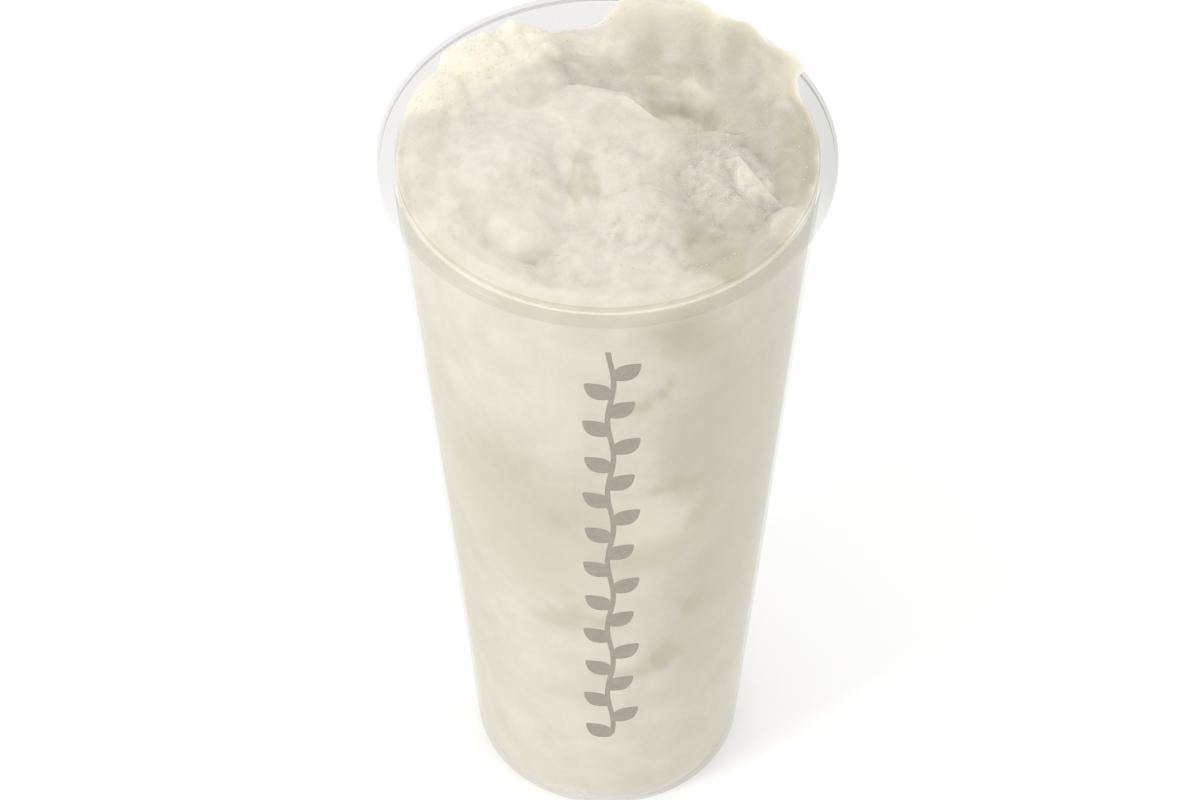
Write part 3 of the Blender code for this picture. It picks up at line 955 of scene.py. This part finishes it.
def make_grains(slush):
    """Loose ice crystals that lie half sunk in the slush's top."""
    settings = slush_settings()
    draw = random.Random(settings.seed + 1)
    tree = BVHTree.FromObject(slush, bpy.context.evaluated_depsgraph_get())
    reach = inner_radius(RIM_HEIGHT) - GRAIN_INSET
    bm = bmesh.new()
    batch = bmesh.new()
    mesh = bpy.data.meshes.new("grain_batch")
    made = 0
    while made < settings.grains:
        radius = reach * math.sqrt(draw.random())
        angle = draw.uniform(0.0, math.tau)
        x = radius * math.cos(angle)
        y = radius * math.sin(angle)
        amounts = top_amounts(x / MM, y / MM)
        sparkle = 1.0 - ease(ellipse_distance(x / MM, y / MM, SPARKLE), *SPARKLE_FADE)
        most = max(sparkle, amounts["ice"] * LIKELY_ICE, amounts["cream"] * LIKELY_CREAM)
        if draw.random() > LEAST_LIKELY + (1.0 - LEAST_LIKELY) * most:
            continue
        spot = tree.ray_cast(Vector((x, y, RIM_HEIGHT * 1.5)), Vector((0.0, 0.0, -1.0)))[0]
        size = draw.uniform(*GRAIN_RADII) * MM
        spin = Euler([draw.uniform(0.0, math.tau) for _ in range(3)]).to_matrix().to_4x4()
        length = size * draw.uniform(*GRAIN_LONG)
        depth = size * draw.uniform(*GRAIN_FLAT)
        flat = Matrix.Diagonal((length, size, depth, 1.0))
        place = Matrix.Translation(spot + Vector((0.0, 0.0, size * GRAIN_LIFT)))
        bmesh.ops.create_icosphere(batch, subdivisions=1, radius=1.0, matrix=place @ spin @ flat)
        made += 1
        if made % GRAIN_BATCH == 0 or made == settings.grains:
            batch.to_mesh(mesh)
            batch.clear()
            bm.from_mesh(mesh)
    batch.free()
    bpy.data.meshes.remove(mesh)
    return finish_piece(bm, "ice_grains", crystal_material(), sharp_degrees=20)


def crystal_material():
    """Small bright crystals of ice."""
    slush = slush_settings()
    material, maker, output = new_material("ice_crystals")
    patchy = object_noise(maker, CRYSTAL_MOTTLE)
    colour = patchy.between(*CRYSTAL_SPAN).mix(rgba(slush.sparkle), rgba(slush.milk))
    plain, by_noise = CRYSTAL_ROUGHNESS
    shader = maker.node(
        "ShaderNodeBsdfPrincipled",
        inputs={
            "Base Color": colour,
            "Roughness": plain + patchy * by_noise,
            "IOR": ICE_IOR,
            "Subsurface Weight": 0.3,
            "Subsurface Radius": (1.0, 0.95, 0.85),
            "Subsurface Scale": slush.soft_depth * CRYSTAL_DEPTH,
        },
    )
    maker.feed(output.inputs["Surface"], shader)
    return material


def wrap_on_wall(place):
    """A point of the flat print, x along the wall and z its height, laid round."""
    radius = outer_radius(place.z) + place.y
    angle = place.x / outer_radius(place.z)
    return Vector((radius * math.sin(angle), -radius * math.cos(angle), place.z))


def add_leaf(bm, x, z, length, width, turn):
    """A pointed oval leaf of the print, flat in the XZ plane."""
    ring = bmesh.ops.create_circle(bm, cap_ends=True, segments=28, radius=1.0)["verts"]
    for vertex in ring:
        along, across = vertex.co.x, vertex.co.y
        vertex.co = Vector((along, across * (1.0 - LEAF_TAPER * along * along), 0.0))
        vertex.co.y *= math.sqrt(max(1.0 - LEAF_POINT * along, LEAST_POINT))
    size = Matrix.Diagonal((length / 2, width / 2, 1.0, 1.0))
    lean = Matrix.Rotation(turn, 4, "Z")
    stand = Matrix.Rotation(math.pi / 2, 4, "X")
    base = Matrix.Translation(Vector((length / 2, 0.0, 0.0)))
    matrix = Matrix.Translation(Vector((x, 0.0, z))) @ stand @ lean @ base @ size
    bmesh.ops.transform(bm, matrix=matrix, verts=ring)


def stem_sway(z, pitch):
    """How far the stem has wound to the side at a height."""
    settings = bpy.context.scene.slush_print
    return settings.sway * math.sin((z - settings.bottom) / pitch * math.pi)


def make_print():
    """A climbing sprig of leaves printed up the front, as a thin layer of ink."""
    settings = bpy.context.scene.slush_print
    bm = bmesh.new()
    count = settings.pairs
    pitch = (settings.top - settings.bottom) / (count + 0.5)
    stem = bmesh.ops.create_grid(bm, x_segments=1, y_segments=120, size=1.0)["verts"]
    middle = (settings.top + settings.bottom) / 2
    half = (settings.top - settings.bottom) / 2
    length = settings.width * LEAF_LENGTH
    width = settings.width * LEAF_WIDTH
    for vertex in stem:
        z = middle + vertex.co.y * half * STEM_SHARE
        vertex.co = Vector((vertex.co.x * settings.stem / 2 + stem_sway(z, pitch), 0.0, z))
    for index in range(count):
        for side in (-1.0, 1.0):
            z = settings.bottom + pitch * (index + LEAF_FOOT + LEAF_OFFSET * side)
            lean = math.radians(90.0 - side * LEAF_LEAN)
            add_leaf(bm, stem_sway(z, pitch), z, length, width, lean)
    bmesh.ops.solidify(bm, geom=bm.faces, thickness=settings.thickness)
    long_edges = [edge for edge in bm.edges if edge.calc_length() > LONG_EDGE]
    bmesh.ops.subdivide_edges(bm, edges=long_edges, cuts=3)
    for vertex in bm.verts:
        vertex.co = wrap_on_wall(vertex.co + Vector((settings.centre, 0.0, 0.0)))
    bmesh.ops.recalc_face_normals(bm, faces=bm.faces)
    piece = finish_piece(bm, "front_print", ink_material(), sharp_degrees=40)
    piece.visible_shadow = False
    piece.visible_diffuse = False


def new_light(lamp, power):
    """A soft rectangular light that is aimed at the upper part of the cup."""
    light = bpy.data.lights.new(lamp.name, "AREA")
    light.shape = "RECTANGLE"
    light.size, light.size_y = lamp.size
    light.energy = power
    light.color = lamp.colour
    item = bpy.data.objects.new(lamp.name, light)
    item.location = lamp.place
    way = Vector((0.0, 0.0, AIM_HEIGHT)) - Vector(lamp.place)
    item.rotation_euler = way.to_track_quat("-Z", "Y").to_euler()
    bpy.context.scene.collection.objects.link(item)


def new_camera():
    """The photograph's view: from the front and well above the rim."""
    stage = bpy.context.scene.slush_stage
    lens = bpy.data.cameras.new("camera")
    lens.sensor_width = SENSOR_WIDTH
    lens.lens = stage.lens
    lens.shift_x = stage.shift
    item = bpy.data.objects.new("camera", lens)
    item.location = CAMERA_PLACE
    item.rotation_euler = (math.radians(90.0 - stage.pitch), 0.0, 0.0)
    bpy.context.scene.collection.objects.link(item)
    bpy.context.scene.camera = item


class CupSettings(bpy.types.PropertyGroup):
    neck_radius: FloatProperty(
        name="Neck radius", description="Outer radius just under the rim",
        default=0.0421, unit="LENGTH", subtype="DISTANCE")
    base_radius: FloatProperty(
        name="Base radius", description="Outer radius at the foot",
        default=0.0283, unit="LENGTH", subtype="DISTANCE")
    wall: FloatProperty(
        name="Wall", description="Thickness of the wall",
        default=0.0009, unit="LENGTH", subtype="DISTANCE")
    shine: FloatVectorProperty(
        name="Shine", description="How bright reflections on the plastic are",
        default=(0.83, 0.82, 0.79), subtype="COLOR")
    tint: FloatVectorProperty(
        name="Tint", description="What the plastic lets through",
        default=(0.925, 0.92, 0.90), subtype="COLOR")
    # Painted shade: a darker tint for the rim and the band under it at the back
    back_shade_tint: FloatVectorProperty(
        name="Rim tint", description="What the rim lets through at the back",
        default=(0.88, 0.875, 0.875), subtype="COLOR")
    front_tint: FloatVectorProperty(
        name="Front tint", description="What the rim lets through at the front",
        default=(0.935, 0.93, 0.915), subtype="COLOR")
    # Painted shade: the darkest tint, for the rim at the right
    right_shade_tint: FloatVectorProperty(
        name="Right tint", description="What the rim lets through at the right",
        default=(0.80, 0.80, 0.785), subtype="COLOR")


class SlushSettings(bpy.types.PropertyGroup):
    milk: FloatVectorProperty(
        name="Milk", description="Colour of the palest slush",
        default=(0.685, 0.66, 0.585), subtype="COLOR")
    milk_dim: FloatVectorProperty(
        name="Dim milk", description="Colour of the slush where it is thinner",
        default=(0.59, 0.57, 0.485), subtype="COLOR")
    cream: FloatVectorProperty(
        name="Cream", description="Colour of the creamy patches",
        default=(0.80, 0.76, 0.635), subtype="COLOR")
    # The melt colour is also painted shade in places: beside the left lobe, on the corner bank
    # and on the side's edges
    melt: FloatVectorProperty(
        name="Melt", description="Colour of the wet, melted patches",
        default=(0.46, 0.434, 0.325), subtype="COLOR")
    # Painted shade: darker, greyer slush on the right side, the corner, the back bank and a
    # little over the front
    shade: FloatVectorProperty(
        name="Shade", description="Colour of the greyer slush at the right",
        default=(0.50, 0.468, 0.40), subtype="COLOR")
    ice: FloatVectorProperty(
        name="Ice", description="Colour of the icy lump",
        default=(0.575, 0.54, 0.475), subtype="COLOR")
    sparkle: FloatVectorProperty(
        name="Sparkle", description="Colour of the brightest crystals",
        default=(0.80, 0.785, 0.73), subtype="COLOR")
    soft_depth: FloatProperty(
        name="Soft depth", description="How far light spreads in the slush",
        default=0.005, unit="LENGTH", subtype="DISTANCE")
    grains: IntProperty(
        name="Grains", description="Number of loose crystals", default=1200)
    seed: IntProperty(name="Seed", description="Seed of every random draw", default=11)


class PrintSettings(bpy.types.PropertyGroup):
    bottom: FloatProperty(
        name="Bottom", description="Height of the sprig's foot",
        default=0.027, unit="LENGTH", subtype="DISTANCE")
    top: FloatProperty(
        name="Top", description="Height of the sprig's tip",
        default=0.164, unit="LENGTH", subtype="DISTANCE")
    width: FloatProperty(
        name="Width", description="Width across the leaves",
        default=0.0108, unit="LENGTH", subtype="DISTANCE")
    centre: FloatProperty(
        name="Centre", description="Shift round the wall from the front",
        default=0.0006, unit="LENGTH", subtype="DISTANCE")
    stem: FloatProperty(
        name="Stem", description="Width of the stem",
        default=0.0011, unit="LENGTH", subtype="DISTANCE")
    sway: FloatProperty(
        name="Sway", description="How far the stem winds to each side",
        default=0.0006, unit="LENGTH", subtype="DISTANCE")
    thickness: FloatProperty(
        name="Ink", description="Thickness of the ink",
        default=0.00006, unit="LENGTH", subtype="DISTANCE")
    pairs: IntProperty(name="Leaf pairs", description="Pairs of leaves", default=11)
    ink: FloatVectorProperty(
        name="Ink colour", description="Colour of the ink",
        default=(0.30, 0.28, 0.23), subtype="COLOR")


class StageSettings(bpy.types.PropertyGroup):
    floor: FloatVectorProperty(
        name="Floor", description="Colour of the floor",
        default=(0.97, 0.97, 0.97), subtype="COLOR")
    lens: FloatProperty(name="Lens", description="Focal length in millimetres", default=140.7)
    pitch: FloatProperty(
        name="Pitch", description="Camera's tilt below level, in degrees", default=48.4)
    shift: FloatProperty(name="Shift", description="Sideways shift of the lens", default=-0.00625)
    sky: FloatProperty(name="Sky", description="Strength of the even light", default=1.04)
    key: FloatProperty(name="Key", description="Power of the left light in watts", default=3.2)
    fill: FloatProperty(name="Fill", description="Power of the right light in watts", default=0.7)


class SLUSH_OT_add_cup(bpy.types.Operator):
    """Add the clear cup with its flat rim"""
    bl_idname = "slush.add_cup"
    bl_label = "Add Cup"

    def execute(self, context):
        bm = turned_mesh(cup_profile(), CUP_STEPS)
        cup = finish_piece(bm, "clear_cup", plastic_material(), sharp_degrees=50)
        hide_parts("cup")
        return {"FINISHED"}


class SLUSH_OT_add_slush(bpy.types.Operator):
    """Add the slush that fills the cup, with its heaped top"""
    bl_idname = "slush.add_slush"
    bl_label = "Add Slush"

    def execute(self, context):
        slush = make_slush()
        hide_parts("slush")
        return {"FINISHED"}


class SLUSH_OT_add_grains(bpy.types.Operator):
    """Add the loose crystals on the top"""
    bl_idname = "slush.add_grains"
    bl_label = "Add Ice Grains"

    def execute(self, context):
        grains = make_grains(bpy.data.objects["slush_fill"])
        return {"FINISHED"}


class SLUSH_OT_add_print(bpy.types.Operator):
    """Add the leafy sprig that is printed up the front"""
    bl_idname = "slush.add_print"
    bl_label = "Add Print"

    def execute(self, context):
        make_print()
        return {"FINISHED"}


class SLUSH_OT_add_stage(bpy.types.Operator):
    """Add the floor, the soft lights and the camera"""
    bl_idname = "slush.add_stage"
    bl_label = "Add Stage"

    def execute(self, context):
        stage = context.scene.slush_stage
        bm = bmesh.new()
        bmesh.ops.create_grid(bm, x_segments=2, y_segments=2, size=FLOOR_SIZE)
        mesh = bpy.data.meshes.new("floor")
        bm.to_mesh(mesh)
        bm.free()
        mesh.materials.append(floor_material())
        floor = bpy.data.objects.new("floor", mesh)
        context.scene.collection.objects.link(floor)
        for lamp in LAMPS:
            new_light(lamp, getattr(stage, lamp.name))
        world = bpy.data.worlds.new("even_light")
        world.use_nodes = True
        background = world.node_tree.nodes["Background"]
        background.inputs["Color"].default_value = (1.0, 1.0, 1.0, 1.0)
        background.inputs["Strength"].default_value = stage.sky
        context.scene.world = world
        context.scene.view_settings.view_transform = "Standard"
        new_camera()
        return {"FINISHED"}


class SLUSH_PT_panel(bpy.types.Panel):
    """Lists the pieces of the drink and their settings"""
    bl_idname = "SLUSH_PT_panel"
    bl_label = "Lychee Slush"
    bl_space_type = "VIEW_3D"
    bl_region_type = "UI"
    bl_category = "Slush"

    def draw(self, context):
        for operator in OPERATORS:
            self.layout.operator(operator.bl_idname)
        for name, group in SETTINGS.items():
            box = self.layout.box()
            for field in group.__annotations__:
                box.prop(getattr(context.scene, name), field)


SETTINGS = {
    "slush_cup": CupSettings,
    "slush_fill": SlushSettings,
    "slush_print": PrintSettings,
    "slush_stage": StageSettings,
}
OPERATORS = (
    SLUSH_OT_add_cup,
    SLUSH_OT_add_slush,
    SLUSH_OT_add_grains,
    SLUSH_OT_add_print,
    SLUSH_OT_add_stage,
)


def register():
    for cls in (*SETTINGS.values(), *OPERATORS, SLUSH_PT_panel):
        bpy.utils.register_class(cls)
    for name, group in SETTINGS.items():
        setattr(bpy.types.Scene, name, PointerProperty(type=group))


def unregister():
    for name in SETTINGS:
        delattr(bpy.types.Scene, name)
    for cls in reversed((*SETTINGS.values(), *OPERATORS, SLUSH_PT_panel)):
        bpy.utils.unregister_class(cls)


def main():
    register()
    bpy.ops.slush.add_cup()
    bpy.ops.slush.add_slush()
    bpy.ops.slush.add_grains()
    bpy.ops.slush.add_print()
    bpy.ops.slush.add_stage()


if __name__ == "__main__":
    main()
